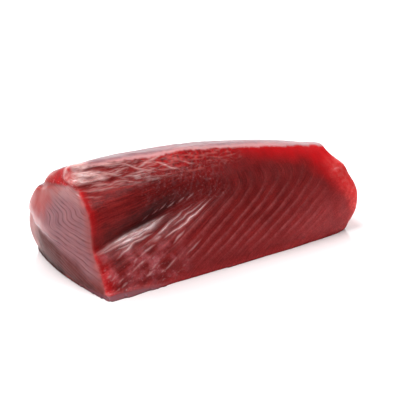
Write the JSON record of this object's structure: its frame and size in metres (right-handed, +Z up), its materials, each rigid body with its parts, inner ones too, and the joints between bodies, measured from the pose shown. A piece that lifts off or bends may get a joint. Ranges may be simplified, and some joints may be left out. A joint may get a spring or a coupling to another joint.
{
  "type": "raw tuna loin",
  "caption": "Thick block of raw tuna loin lying on its flat cut side, with a leaning cut face split along its length, a rounded skin side and a cut across each end.",
  "frame": {"origin": "centre of the bounding box on the surface that the block lies on", "axes": "+X along the block from its thick end to its thin end, +Y from the leaning cut face to the rounded skin side, +Z up"},
  "size_m": [0.287, 0.1354, 0.0951],
  "materials": {
    "raw_tuna": "wet raw flesh, deep red"
  },
  "bodies": {
    "root": {"tuna_loin": "raw_tuna"}
  },
  "joints": []
}
